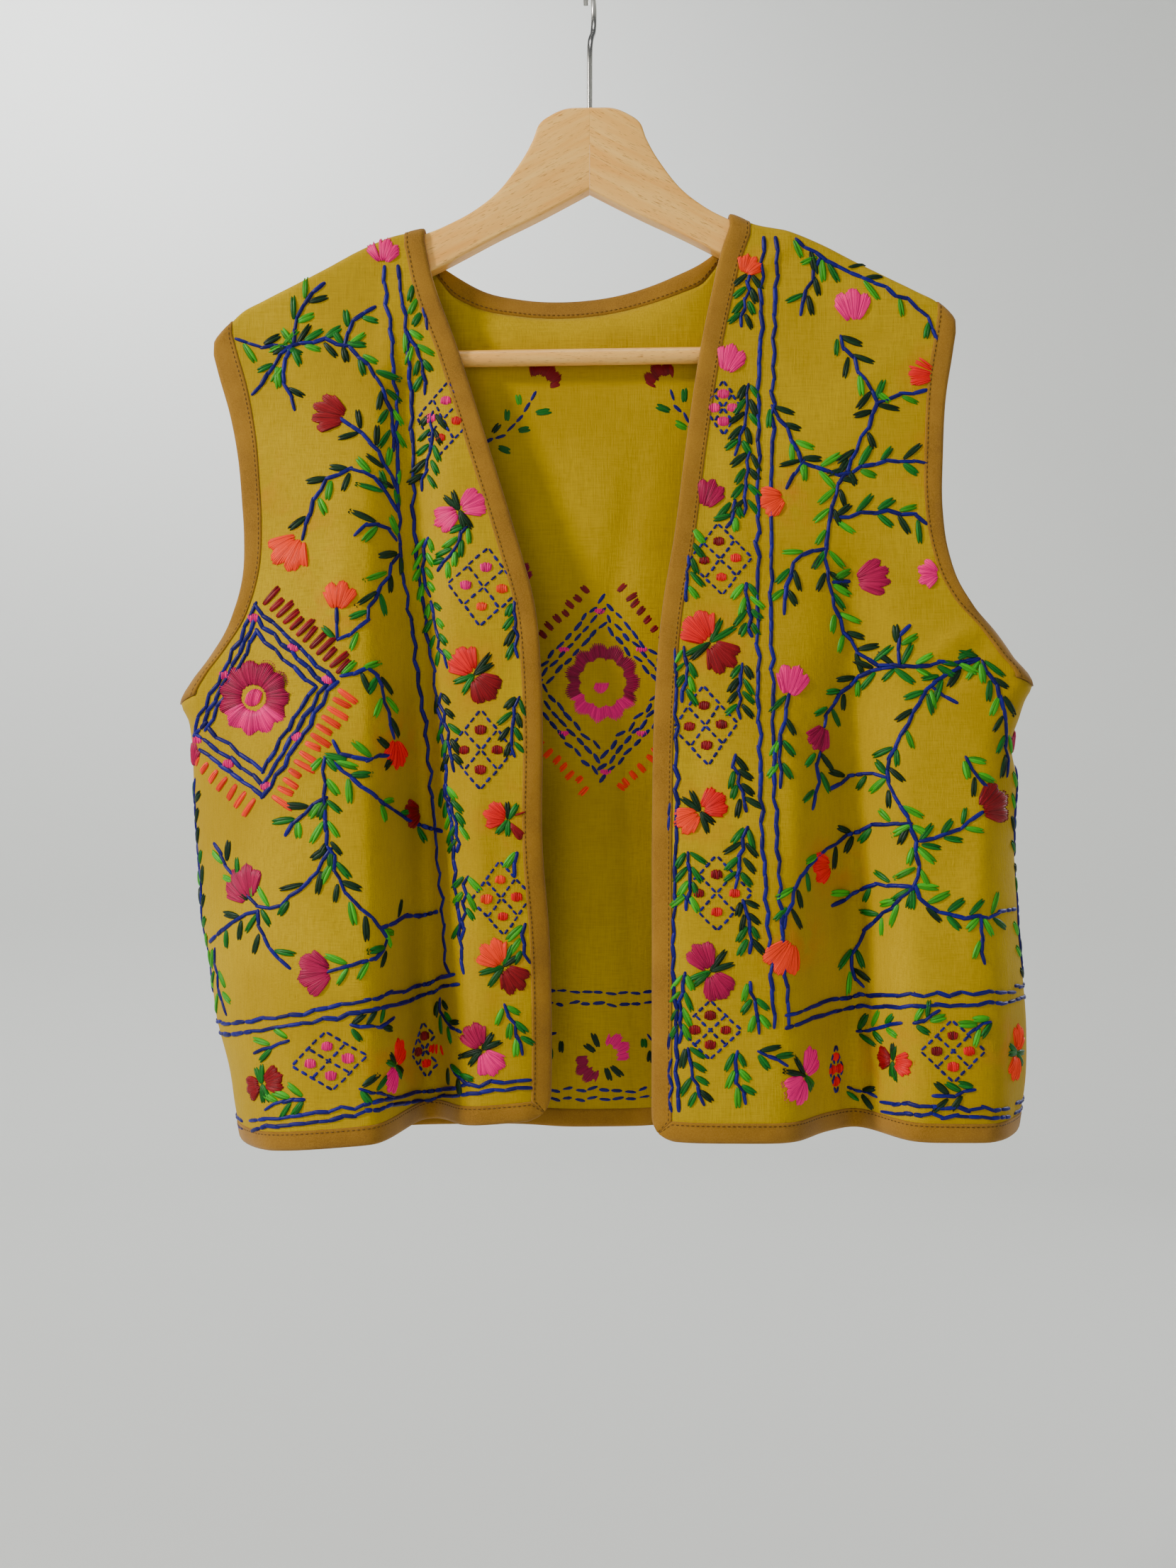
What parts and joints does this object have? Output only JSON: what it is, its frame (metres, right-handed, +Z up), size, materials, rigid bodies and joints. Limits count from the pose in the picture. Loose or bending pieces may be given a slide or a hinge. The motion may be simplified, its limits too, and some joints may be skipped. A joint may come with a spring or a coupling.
{
  "type": "embroidered waistcoat on a wooden hanger",
  "caption": "Open-fronted sleeveless embroidered cotton waistcoat with bound edges, hanging in soft folds on a flat wooden hanger with a trouser bar and a wire hook.",
  "frame": {"origin": "the inside of the hook's crown, where a rail or a peg carries it", "axes": "+Z up; -Y out of the waistcoat's front; +X to the right as the front is seen"},
  "size_m": [0.522, 0.0797, 0.7215],
  "materials": {
    "cotton": "plain-woven mustard cotton, hand embroidered",
    "binding": "brushed ochre cotton",
    "beech": "satin clear lacquer",
    "wire": "bright nickel"
  },
  "bodies": {
    "root": {"front_left": "cotton", "front_right": "cotton", "back": "cotton", "binding_front_left": "binding", "binding_front_right": "binding", "binding_neck_back": "binding", "binding_armhole_front_left": "binding", "binding_armhole_front_right": "binding", "binding_armhole_back_left": "binding", "binding_armhole_back_right": "binding", "binding_hem_left": "binding", "binding_hem_right": "binding", "binding_hem_back": "binding", "hanger_arm_left": "beech", "hanger_arm_right": "beech", "hanger_bar": "beech", "hanger_hook": "wire"}
  },
  "joints": []
}
